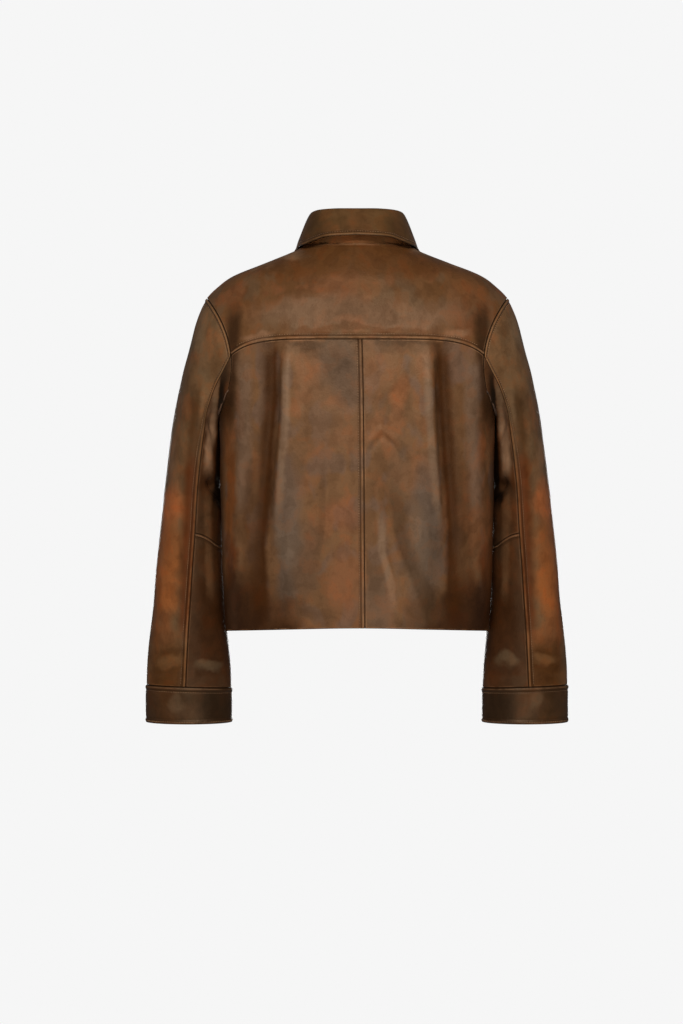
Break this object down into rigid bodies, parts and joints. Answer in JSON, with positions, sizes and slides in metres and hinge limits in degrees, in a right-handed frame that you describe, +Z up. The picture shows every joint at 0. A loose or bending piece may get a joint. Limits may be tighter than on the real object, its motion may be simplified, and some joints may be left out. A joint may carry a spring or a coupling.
{
  "type": "worn leather jacket",
  "caption": "Short boxy leather jacket in its worn, hollow shape: shirt collar on a stand, back yoke, centre-back seam, two-piece sleeves with cuffs, buttoned front.",
  "frame": {"origin": "middle of the neck base, between the two side-neck points, where the wearer's neck and shoulders carry the jacket", "axes": "+Z up, +Y towards the wearer's front, +X towards the wearer's right"},
  "size_m": [0.6174, 0.2502, 0.7423],
  "materials": {
    "leather_body": "distressed brown leather, semi-matt, mottled red-brown and grey-brown",
    "leather_sleeve": "distressed brown leather, semi-matt, rusty towards the elbow",
    "leather_dark": "dark brown leather, semi-matt",
    "leather_collar": "dark olive-brown leather, semi-matt, worn at the edge",
    "button": "dark brown horn-like plastic, satin"
  },
  "bodies": {
    "root": {"back_yoke": "leather_body", "back_panel_left": "leather_body", "back_panel_right": "leather_body", "front_panel_left": "leather_body", "front_panel_right": "leather_body", "upper_sleeve_left": "leather_sleeve", "upper_sleeve_right": "leather_sleeve", "under_sleeve_top_left": "leather_sleeve", "under_sleeve_top_right": "leather_sleeve", "under_sleeve_lower_left": "leather_dark", "under_sleeve_lower_right": "leather_dark", "cuff_left": "leather_dark", "cuff_right": "leather_dark", "collar_stand": "leather_dark", "collar_fall": "leather_collar", "button_1": "button", "button_2": "button", "button_3": "button", "button_4": "button", "button_5": "button"}
  },
  "joints": []
}
